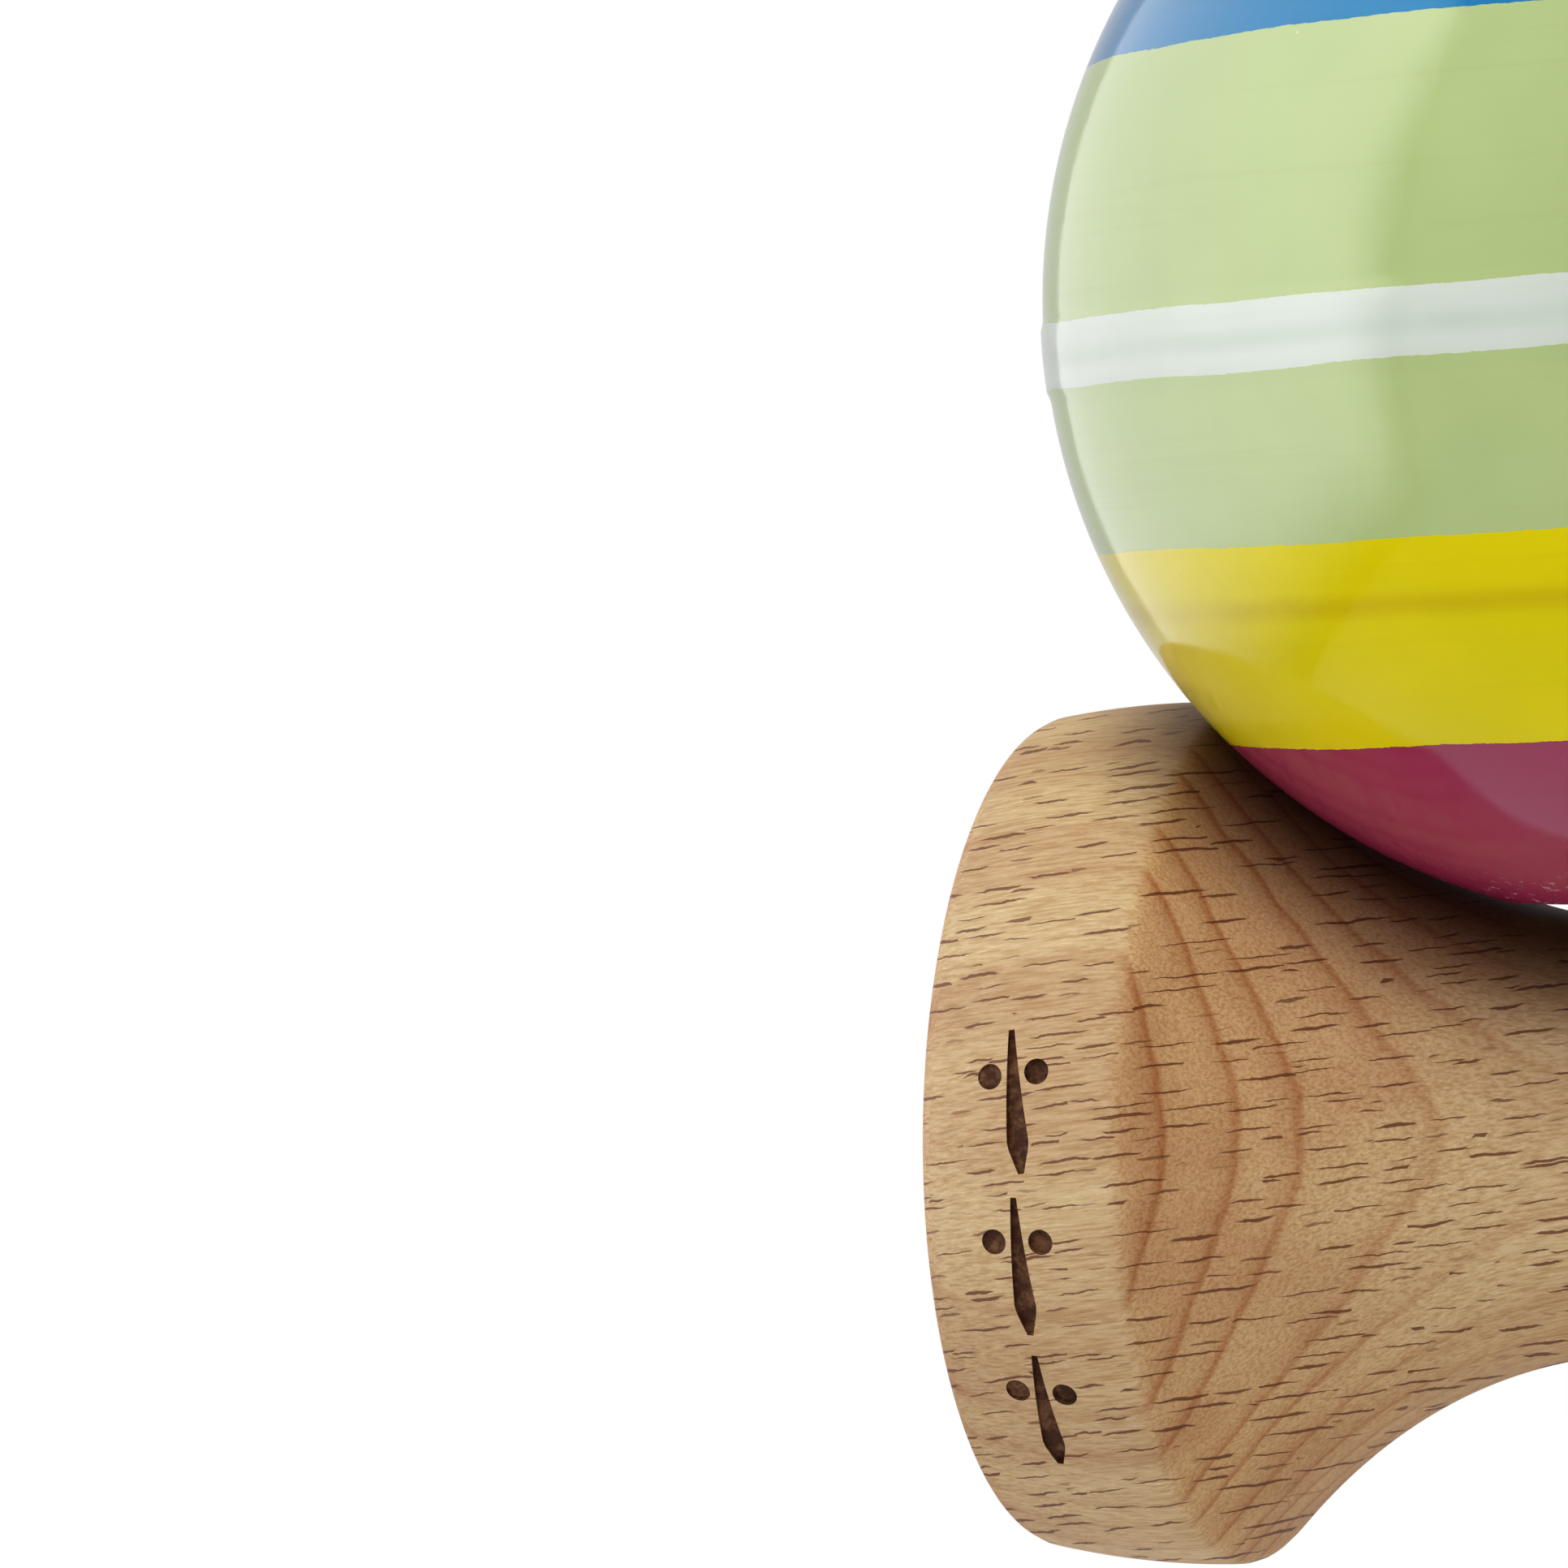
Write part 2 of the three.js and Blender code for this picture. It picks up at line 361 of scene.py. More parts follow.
    def rings(self, bench: ShaderBench, place: Socket) -> Socket:
        """Draws the growth rings: a thin dark line with a soft shoulder on its outer side.

        Args:
            bench: The node sheet.
            place: The grain's coordinates, in millimetres.

        Returns:
            1 in a ring's line, 0 away from it.
        """
        _, depth, _ = bench.split(place)
        waves = bench.noise(bench.stretched(place, self.ring_wave_scale), 1.0)
        small_waves = bench.noise(bench.stretched(place, self.ring_waver_scale), 1.0)
        warped = bench.math("MULTIPLY_ADD", waves, self.ring_wave, depth)
        warped = bench.math("MULTIPLY_ADD", small_waves, self.ring_waver, warped)
        middling = (self.ring_wave + self.ring_waver) / 2
        total: Socket | None = None
        for ring_depth in self.ring_depths:
            from_line = bench.math("SUBTRACT", warped, ring_depth + middling)
            shoulder = bench.fade(from_line, -self.ring_shoulder, 0.0)
            shoulder = bench.math("MULTIPLY", shoulder, self.ring_shoulder_share)
            core = bench.fade(from_line, -self.ring_core, 0.0)
            line = bench.math("MULTIPLY_ADD", core, 1 - self.ring_shoulder_share, shoulder)
            line = bench.math("MULTIPLY", line, bench.fade(from_line, self.ring_edge, 0.0))
            total = line if total is None else bench.math("MAXIMUM", total, line)
        return total

    def material(self) -> bpy.types.Material:
        """Makes the material.

        Returns:
            The material.
        """
        bench = ShaderBench(self.name)
        turn = Euler((self.ring_tilt, self.grain.value, 0))
        place = bench.placed(self.centre, turn)
        patches = bench.noise(bench.stretched(place, self.patch_scale), 1.0, 3.0)
        colour = bench.blend(bench.fade(patches, 0.38, 0.62), self.golden, self.pinkish)
        fibres = bench.noise(bench.stretched(place, self.fibre_scale), 1.0, 4.0, 0.62)
        colour = bench.blend(bench.fade(fibres, 0.36, 0.7), colour, self.dark_fibre, "MULTIPLY")
        pores = bench.noise(bench.stretched(place, self.pore_scale), 1.0, 3.0, 0.75)
        colour = bench.blend(bench.fade(pores, 0.5, 0.7), colour, self.light_fibre, "MULTIPLY")
        towards = bench.add("ShaderNodeVectorMath", operation="DOT_PRODUCT")
        bench.feed(towards.inputs[0], bench.coordinates.outputs["Normal"])
        bench.feed(towards.inputs[1], turn.to_matrix().transposed() @ Vector((1, 0, 0)))
        end = bench.fade(bench.math("ABSOLUTE", towards.outputs["Value"]), 0.12, 0.85)
        colour = bench.blend(end, colour, self.end_grain, "MULTIPLY")
        rings = self.rings(bench, place)
        on_side, on_end = self.ring_strength
        strength = bench.math("MULTIPLY_ADD", end, on_end - on_side, on_side)
        shown = bench.math("MULTIPLY", rings, strength)
        colour = bench.blend(shown, colour, self.ring, "MULTIPLY")
        flecks = self.flecks(bench, place)
        shown = bench.math("MULTIPLY", flecks, self.fleck_strength)
        colour = bench.blend(shown, colour, self.fleck)
        # Painted contact shadow: the wood's colour is multiplied darker within reach of the resting
        # ball's surface, fading out as the gap grows.
        if self.contact_shadow_ball_centre is not None:
            from_ball = bench.add("ShaderNodeVectorMath", operation="LENGTH")
            bench.feed(from_ball.inputs[0], bench.placed(self.contact_shadow_ball_centre, Euler((0, 0, 0))))
            gap = bench.math("SUBTRACT", from_ball.outputs["Value"], self.contact_shadow_ball_radius)
            contact_shadow = bench.fade(gap, self.contact_shadow_reach, 0.0)
            colour = bench.blend(contact_shadow, colour, self.contact_shadow_colour, "MULTIPLY")
        relief = bench.math("MULTIPLY_ADD", flecks, -self.fleck_depth, fibres)
        return bench.finish(
            Base_Color=colour,
            Roughness=bench.math("MULTIPLY_ADD", fibres, self.roughness_spread, self.roughness),
            Specular_IOR_Level=0.3,
            Normal=bench.bump(relief, 0.035, 0.6),
        )


@dataclass(frozen=True)
class ScorchFinish:
    """Wood darkened by a hot iron, browner where the iron hardly touched it."""

    name: str
    deep: Colour = (0.045, 0.014, 0.006)
    browned: Colour = (0.17, 0.075, 0.032)
    roughness: float = 0.8

    def material(self) -> bpy.types.Material:
        """Makes the material.

        Returns:
            The material.
        """
        bench = ShaderBench(self.name)
        place = bench.placed(Vector((0, 0, 0)), Euler((0, 0, 0)))
        soot = bench.noise(bench.stretched(place, (1.2, 1.2, 1.2)), 1.0, 4.0, 0.7)
        return bench.finish(
            Base_Color=bench.blend(bench.fade(soot, 0.42, 0.68), self.deep, self.browned),
            Roughness=self.roughness,
            Specular_IOR_Level=0.2,
            Normal=bench.bump(soot, 0.06),
        )


@dataclass(frozen=True)
class LacquerFinish:
    """Gloss lacquer, masked and sprayed in bands across the ball's axis."""

    name: str
    centre: Vector
    turn: Euler
    edges: tuple[float, ...]
    berry: Colour = (0.31, 0.012, 0.075)
    yellow: Colour = (0.75, 0.62, 0.0)
    lime: Colour = (0.43, 0.54, 0.21)
    white: Colour = (0.64, 0.7, 0.63)
    blue: Colour = (0.012, 0.18, 0.42)
    yellow_gloss: Colour = (0.9, 0.88, 0.12)
    blue_gloss: Colour = (0.25, 0.55, 0.7)
    plain_gloss: Colour = (1.0, 1.0, 1.0)
    streak: Colour = (0.86, 0.83, 0.75)
    streak_strength: float = 0.2
    cloud: Colour = (0.94, 0.95, 0.93)
    undercoat: Colour = (0.8, 0.72, 0.66)
    scuffed_heights: tuple[float, float] = (-26.2, -27.9)
    scuff_strength: float = 0.6
    speck_cells: float = 0.45
    speck_share: float = 0.4
    speck_reach: tuple[float, float] = (0.012, 0.047)
    speck_edge: float = 0.012
    speck_depth: float = 0.6
    mask_drift: float = 0.5
    mask_ragged: float = 0.16
    rubbed_lines: tuple[tuple[float, float, Colour], ...] = (
        (-13.5, 0.9, (0.86, 0.8, 0.6)),
        (-1.2, 0.8, (0.86, 0.9, 0.86)),
    )
    span: float = 30.5
    roughness: float = 0.06
    roughness_spread: float = 0.1

    def bands(self, bench: ShaderBench, height: Socket, paints: Sequence[Colour]) -> Socket:
        """Gives each band its colour by the height along the ball's axis.

        Args:
            bench: The node sheet.
            height: The height above the ball's centre, in millimetres.
            paints: The bands' colours, from the mouth up.

        Returns:
            The colour.
        """
        share = bench.math("MULTIPLY_ADD", height, 0.5 / self.span, 0.5)
        ramp = bench.add("ShaderNodeValToRGB")
        bench.feed(ramp.inputs[0], share)
        ramp.color_ramp.interpolation = "CONSTANT"
        starts = (-self.span, *self.edges)
        stops = ramp.color_ramp.elements
        while len(stops) < len(paints):
            stops.new(1.0)
        for stop, start, paint in zip(stops, starts, paints):
            stop.position = 0.5 + 0.5 * start / self.span
            stop.color = (*paint, 1.0)
        return ramp.outputs[0]

    def specks(self, bench: ShaderBench, place: Socket) -> Socket:
        """Scatters tiny chips down to the undercoat.

        Args:
            bench: The node sheet.
            place: The ball's coordinates, in millimetres.

        Returns:
            1 in a chip, 0 outside.
        """
        voronoi = bench.add("ShaderNodeTexVoronoi", voronoi_dimensions="3D", feature="F1")
        bench.feed(voronoi.inputs["Vector"], place)
        bench.feed(voronoi.inputs["Scale"], self.speck_cells)
        chance, size, _ = bench.split(voronoi.outputs["Color"])
        least, most = self.speck_reach
        reach = bench.math("MULTIPLY_ADD", size, most - least, least)
        inside = bench.math("SUBTRACT", reach, voronoi.outputs["Distance"])
        dot = bench.fade(inside, 0.0, self.speck_edge)
        return bench.math("MULTIPLY", dot, bench.math("GREATER_THAN", chance, 1 - self.speck_share))

    def material(self) -> bpy.types.Material:
        """Makes the material.

        Returns:
            The material.
        """
        bench = ShaderBench(self.name)
        place = bench.placed(self.centre, self.turn)
        _, _, height = bench.split(place)
        drift = bench.noise(place, 0.09)
        ragged = bench.noise(place, 1.6, 3.0, 0.7)
        middling = (self.mask_drift + self.mask_ragged) / 2
        masked = bench.math("SUBTRACT", height, middling)
        masked = bench.math("MULTIPLY_ADD", drift, self.mask_drift, masked)
        masked = bench.math("MULTIPLY_ADD", ragged, self.mask_ragged, masked)
        paints = (self.berry, self.yellow, self.lime, self.white, self.lime, self.blue)
        colour = self.bands(bench, masked, paints)
        plain = self.plain_gloss
        glosses = (plain, self.yellow_gloss, plain, plain, plain, self.blue_gloss)
        gloss = self.bands(bench, masked, glosses)
        for line_height, half_width, rub in self.rubbed_lines:
            from_line = bench.math("ABSOLUTE", bench.math("SUBTRACT", masked, line_height))
            line = bench.fade(from_line, half_width, 0.0)
            patchy = bench.math("MULTIPLY", line, bench.fade(drift, 0.2, 0.55))
            colour = bench.blend(patchy, colour, rub, "MULTIPLY")
        ringed = bench.noise(bench.stretched(place, (0.03, 0.03, 1.1)), 1.0, 4.0, 0.6)
        streaks = bench.math("MULTIPLY", bench.fade(ringed, 0.52, 0.7), self.streak_strength)
        colour = bench.blend(streaks, colour, self.streak, "MULTIPLY")
        cloud = bench.noise(place, 0.14, 3.0)
        colour = bench.blend(bench.fade(cloud, 0.35, 0.7), colour, self.cloud, "MULTIPLY")
        near_mouth = bench.fade(height, *self.scuffed_heights)
        scuffs = bench.math("MULTIPLY", bench.fade(ragged, 0.6, 0.68), near_mouth)
        scuffs = bench.math("MULTIPLY", scuffs, self.scuff_strength)
        specks = bench.math("MAXIMUM", self.specks(bench, place), scuffs)
        colour = bench.blend(specks, colour, self.undercoat)
        orange_peel = bench.noise(place, 0.7, 2.0)
        dust = bench.noise(place, 9.0, 2.0, 0.7)
        relief = bench.math("MULTIPLY_ADD", specks, -self.speck_depth, orange_peel)
        relief = bench.math("MULTIPLY_ADD", dust, 0.06, relief)
        return bench.finish(
            Base_Color=colour,
            Roughness=bench.math("MULTIPLY_ADD", dust, self.roughness_spread, self.roughness),
            Specular_IOR_Level=0.5,
            Specular_Tint=gloss,
            Normal=bench.bump(relief, 0.02, 0.5),
        )


@dataclass(frozen=True)
class WindowFinish:
    """A window's glow: soft at its near edge, brightest beside it and fading to the far edge."""

    name: str
    middle: float
    width: float
    foot: float
    edge: float = 0.28
    bright: float = 3.6
    dim: float = 1.75

    def material(self) -> bpy.types.Material:
        """Makes the material.

        Returns:
            The material.
        """
        bench = ShaderBench(self.name)
        _, across, height = bench.split(bench.coordinates.outputs["Object"])
        near, far = self.middle - self.width / 2, self.middle + self.width / 2
        fading = bench.fade(across, near + self.width * 0.4, far)
        glow = bench.math("MULTIPLY_ADD", fading, self.dim - self.bright, self.bright)
        glow = bench.math("MULTIPLY", glow, bench.fade(across, near, near + self.edge))
        glow = bench.math("MULTIPLY", glow, bench.fade(height, self.foot, self.foot + self.edge))
        return bench.finish(
            Base_Color=(0.0, 0.0, 0.0),
            Emission_Color=(1.0, 1.0, 1.0),
            Emission_Strength=glow,
        )


@dataclass(frozen=True)
class FloorFinish:
    """Matt white card."""

    name: str
    colour: Colour = (0.93, 0.93, 0.93)
    roughness: float = 0.85

    def material(self) -> bpy.types.Material:
        """Makes the material.

        Returns:
            The material.
        """
        bench = ShaderBench(self.name)
        place = bench.placed(Vector((0, 0, 0)), Euler((0, 0, 0)))
        fuzz = bench.noise(place, 1.5)
        normal = bench.bump(fuzz, 0.02, 0.2)
        return bench.finish(Base_Color=self.colour, Roughness=self.roughness, Normal=normal)


# ---- Lathe work ---------------------------------------------------------------------------------


def arc(centre: tuple[float, float], radius: float, start: float, end: float, steps: int) -> Outline:
    """Gives an arc of an outline.

    Args:
        centre: Its centre, as (radius, height).
        radius: Its radius.
        start: Its first angle from the outward direction, in degrees.
        end: Its last angle.
        steps: How many stretches it has.

    Returns:
        Its points.
    """
    points: Outline = []
    for i in range(steps + 1):
        angle = math.radians(start + (end - start) * i / steps)
        points.append((centre[0] + radius * math.cos(angle), centre[1] + radius * math.sin(angle)))
    return points


def dish(opening: float, depth: float, height: float, steps: int) -> Outline:
    """Gives a round hollow that opens upwards.

    Args:
        opening: The opening's radius.
        depth: The hollow's depth.
        height: The opening's height.
        steps: How many stretches it has.

    Returns:
        Its points from the axis out to just inside the opening.
    """
    sphere = (opening**2 + depth**2) / (2 * depth)
    reach = math.asin(opening / sphere)
    points: Outline = [(0.0, height - depth)]
    for i in range(1, steps):
        angle = reach * i / steps
        points.append((sphere * math.sin(angle), height - depth + sphere * (1 - math.cos(angle))))
    return points


def spline_point(values: Sequence[float], share: float) -> float:
    """Gives a point of a smooth curve through four knots, between the middle two.

    Args:
        values: The knots' values.
        share: How far between the middle two, from 0 to 1.

    Returns:
        The curve's value.
    """
    before, start, end, after = values
    slope_in = (end - before) / 2
    slope_out = (after - start) / 2
    bend = 2 * start - 2 * end + slope_in + slope_out
    rise = -3 * start + 3 * end - 2 * slope_in - slope_out
    return ((bend * share + rise) * share + slope_in) * share + start


def soft_least(first: float, second: float, softness: float) -> float:
    """Gives the lesser of two lengths, with the corner between them rounded off."""
    least = min(first, second)
    return least - softness * math.log(1 + math.exp(-abs(first - second) / softness))


def turned(outline: Outline, steps: int, closed: bool) -> bmesh.types.BMesh:
    """Spins an outline round Z.

    Args:
        outline: Its (radius, height) points, in millimetres.
        steps: How many facets the turn has.
        closed: Whether the last point joins the first one.

    Returns:
        The closed shell, in metres.
    """
    bm = bmesh.new()
    verts = [bm.verts.new((radius * MM, 0, height * MM)) for radius, height in outline]
    pairs = list(zip(verts, verts[1:]))
    if closed:
        pairs.append((verts[-1], verts[0]))
    edges = [bm.edges.new(pair) for pair in pairs]
    bmesh.ops.spin(
        bm, geom=verts + edges, cent=(0, 0, 0), axis=(0, 0, 1), dvec=(0, 0, 0),
        angle=math.tau, steps=steps, use_merge=True, use_duplicate=False,
    )
    bmesh.ops.remove_doubles(bm, verts=bm.verts, dist=0.002 * MM)
    bmesh.ops.recalc_face_normals(bm, faces=bm.faces)
    return bm


def piece(
    name: str, bm: bmesh.types.BMesh, place: Matrix, materials: Sequence[bpy.types.Material]
) -> bpy.types.Object:
    """Makes an object of a mesh, with its place in the mesh.

    Args:
        name: The object's name.
        bm: The mesh, which is used up.
        place: Where it goes.
        materials: Its materials, the first one for faces not said otherwise.

    Returns:
        The object.
    """
    bmesh.ops.transform(bm, matrix=place, verts=bm.verts)
    mesh = bpy.data.meshes.new(name)
    bm.to_mesh(mesh)
    bm.free()
    for material in materials:
        mesh.materials.append(material)
    made = bpy.data.objects.new(name, mesh)
    bpy.context.scene.collection.objects.link(made)
    return made


def carve(target: bpy.types.Object, cutters: Sequence[bpy.types.Object]) -> None:
    """Cuts shapes out of a piece and keeps the result as its mesh.

    Args:
        target: The piece.
        cutters: The shapes, which are removed afterwards.
    """
    for cutter in cutters:
        modifier = target.modifiers.new(cutter.name, "BOOLEAN")
        modifier.operation = "DIFFERENCE"
        modifier.solver = "MANIFOLD"
        modifier.material_mode = "TRANSFER"
        modifier.object = cutter
    depsgraph = bpy.context.evaluated_depsgraph_get()
    carved = bpy.data.meshes.new_from_object(target.evaluated_get(depsgraph))
    target.modifiers.clear()
    bm = bmesh.new()
    bm.from_mesh(carved)
    many_sided = [face for face in bm.faces if len(face.verts) > 4]
    bmesh.ops.triangulate(bm, faces=many_sided, ngon_method="EAR_CLIP")
    bmesh.ops.dissolve_degenerate(bm, dist=0.003 * MM, edges=bm.edges)
    bm.to_mesh(carved)
    bm.free()
    target.data = carved
    for cutter in cutters:
        bpy.data.objects.remove(cutter)


def smooth_shade(target: bpy.types.Object, crease: float = 32.0) -> None:
    """Shades a piece smooth, apart from its sharp edges.

    Args:
        target: The piece.
        crease: The least angle of a sharp edge, in degrees.
    """
    bm = bmesh.new()
    bm.from_mesh(target.data)
    for face in bm.faces:
        face.smooth = True
    for edge in bm.edges:
        edge.smooth = len(edge.link_faces) != 2 or edge.calc_face_angle() < math.radians(crease)
    bm.to_mesh(target.data)
    bm.free()


def rod(
    name: str, radius: float, length: float, place: Matrix, material: bpy.types.Material
) -> bpy.types.Object:
    """Makes a round cutter, such as a drill leaves.

    Args:
        name: Its name.
        radius: Its radius, in millimetres.
        length: Its length, in millimetres.
        place: Where its middle goes, with its axis along the place's Z.
        material: What the cut is lined with.

    Returns:
        The cutter.
    """
    bm = bmesh.new()
    ends = {"radius1": radius * MM, "radius2": radius * MM}
    bmesh.ops.create_cone(bm, cap_ends=True, segments=64, depth=length * MM, **ends)
    off_the_facets = Matrix.Rotation(math.radians(CUTTER_TURN), 4, "Z")
    return piece(name, bm, place @ off_the_facets, [material])


# ---- Cross-piece --------------------------------------------------------------------------------


@dataclass
class Cup:
    """One cup of the cross-piece."""

    lip_radius: float
    edge_radius: float
    dish_depth: float
    rim: float = 2.4
    band: float = 10.15
    band_bow: float = 0.33
    lip_round: float = 0.45
    opening_round: float = 0.5

    def band_radius(self, from_lip: float) -> float:
        """Gives the band's radius.

        Args:
            from_lip: The distance from the lip.

        Returns:
            The radius there.
        """
        share = from_lip / self.band
        bow = self.band_bow * 4 * share * (1 - share)
        return self.lip_radius + (self.edge_radius - self.lip_radius) * share + bow


@dataclass
class BurntMarks:
    """Three plain marks burnt into the big cup's band: a slim drop between two dots."""

    middle: float = 5.0
    first_angle: float = 15.9
    pitch: float = 21.4
    count: int = 3
    length: float = 6.9
    width: float = 1.15
    tip: float = 0.3
    widest: float = 0.3
    dot_radius: float = 0.62
    dot_offset: float = 1.2
    dot_rise: float = 1.3
    depth: float = 0.3
    stand: float = 0.5
    leans: tuple[float, ...] = (6.0, 1.5, -1.5)
    rows: int = 18

    def drop(self) -> bmesh.types.BMesh:
        """Makes the drop as a flat strip, in millimetres, with its length along Y.

        Returns:
            The strip.
        """
        bm = bmesh.new()
        bmesh.ops.create_grid(bm, x_segments=1, y_segments=self.rows, size=0.5)
        for vert in bm.verts:
            from_widest = vert.co.y + self.widest
            fullness = 1 - abs(from_widest) / (0.5 + math.copysign(self.widest, from_widest))
            vert.co.x *= self.tip + (self.width - self.tip) * fullness
            vert.co.y *= self.length
        return bm

    def dot(self, side: int) -> bmesh.types.BMesh:
        """Makes one dot as a flat disc, in millimetres.

        Args:
            side: -1 for the dot at the left of the drop, 1 for the one at its right.

        Returns:
            The disc.
        """
        bm = bmesh.new()
        bmesh.ops.create_circle(bm, cap_ends=True, segments=24, radius=self.dot_radius)
        bmesh.ops.translate(bm, verts=bm.verts, vec=(side * self.dot_offset, self.dot_rise, 0))
        return bm

    def cutters(
        self, cup: Cup, half_length: float, place: Matrix, material: bpy.types.Material
    ) -> list[bpy.types.Object]:
        """Makes the iron's shapes, bent round the cup's band.

        Args:
            cup: The cup.
            half_length: From the handle's axis to the cup's lip.
            place: The place of the cross-piece's axis.
            material: The scorched wood.

        Returns:
            The cutters.
        """
        made = []
        around = cup.band_radius(self.middle)
        for number in range(self.count):
            angle = math.radians(self.first_angle - self.pitch * number)
            for part, shape in enumerate((self.drop(), self.dot(-1), self.dot(1))):
                walls = bmesh.ops.extrude_face_region(shape, geom=shape.faces[:])
                raised = [item for item in walls["geom"] if isinstance(item, bmesh.types.BMVert)]
                bmesh.ops.translate(shape, verts=raised, vec=(0, 0, self.depth + self.stand))
                lean = Matrix.Rotation(math.radians(self.leans[number]), 4, "Z")
                bmesh.ops.transform(shape, matrix=lean, verts=shape.verts)
                for vert in shape.verts:
                    turn = angle + vert.co.y / around
                    radius = (around - self.depth + vert.co.z) * MM
                    along = (vert.co.x - half_length + self.middle) * MM
                    vert.co = (along, -radius * math.cos(turn), radius * math.sin(turn))
                bmesh.ops.recalc_face_normals(shape, faces=shape.faces)
                made.append(piece(f"iron_{number}_{part}", shape, place, [material]))
        return made


@dataclass
class CrossPiece:
    """The cross-piece: two cups and a flared neck, bored for the handle's shaft."""

    big_cup: Cup
    small_cup: Cup
    marks: BurntMarks
    ball_centre: Vector
    half_length: float = 34.18
    neck_radius: float = 10.34
    flare_power: float = 2.52
    edge_softness: float = 0.16
    bore_radius: float = 5.75
    seat_radius: float = 7.9
    shoulder_radius: float = 7.6
    string_hole_radius: float = 1.5
    past_lip: float = 0.12
    stations: int = 84
    facets: int = 240

    def radius(self, cup: Cup, distance: float) -> float:
        """Gives the outer radius of the flare and the band.

        Args:
            cup: The cup at that end.
            distance: The distance from the handle's axis.

        Returns:
            The radius there.
        """
        inner = self.half_length - cup.band
        widening = cup.edge_radius - self.neck_radius
        flare = self.neck_radius + widening * (distance / inner) ** self.flare_power
        return soft_least(flare, cup.band_radius(self.half_length - distance), self.edge_softness)

    def end_outline(self, cup: Cup) -> Outline:
        """Gives one end's outline, from the dish's middle to just short of the neck.

        Args:
            cup: The cup at that end.

        Returns:
            Its (radius, distance from the handle's axis) points.
        """
        opening = cup.lip_radius - cup.rim
        points = dish(opening, cup.dish_depth, self.half_length, 22)
        opening_centre = (opening + cup.opening_round, self.half_length - cup.opening_round)
        points += arc(opening_centre, cup.opening_round, 160, 90, 5)
        lip_centre = (cup.lip_radius - cup.lip_round, self.half_length - cup.lip_round)
        points += arc(lip_centre, cup.lip_round, 90, 8, 6)
        start = self.half_length - cup.lip_round - self.past_lip
        for i in range(self.stations):
            distance = start * (1 - i / self.stations)
            points.append((self.radius(cup, distance), distance))
        return points

    def build(self) -> bpy.types.Object:
        """Builds the cross-piece.

        Returns:
            The finished piece.
        """
        low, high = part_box("sarado")
        place = Matrix.Translation((low + high) / 2)
        # The cross-piece's wood carries a painted contact shadow round where the ball rests.
        finish = BeechFinish(
            "beech_cross_piece", Grain.ALONG_CROSS_PIECE, place.translation, contact_shadow_ball_centre=self.ball_centre
        )
        wood = finish.material()
        scorch = ScorchFinish("scorched_beech").material()
        outline = self.end_outline(self.big_cup)
        outline += [(radius, -height) for radius, height in reversed(self.end_outline(self.small_cup))]
        lying = place @ Matrix.Rotation(-math.pi / 2, 4, "Y")
        made = piece("cross_piece", turned(outline, self.facets, closed=False), lying, [wood, scorch])
        seat_drop = math.sqrt(self.neck_radius**2 - self.shoulder_radius**2)
        tall = 4 * self.neck_radius
        below = Matrix.Translation((0, 0, -(seat_drop + tall / 2) * MM))
        front = Matrix.Translation((0, -self.neck_radius * MM, 0)) @ Matrix.Rotation(math.pi / 2, 4, "X")
        cutters = [
            rod("bore", self.bore_radius, tall, place, wood),
            rod("seat", self.seat_radius, tall, place @ below, wood),
            rod("string_hole", self.string_hole_radius, 2 * self.neck_radius, place @ front, wood),
        ]
        cutters += self.marks.cutters(self.big_cup, self.half_length, place, scorch)
        carve(made, cutters)
        smooth_shade(made)
        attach(made, "cross_piece")
        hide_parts("sarado")
        return made


# ---- Ball and bead ------------------------------------------------------------------------------


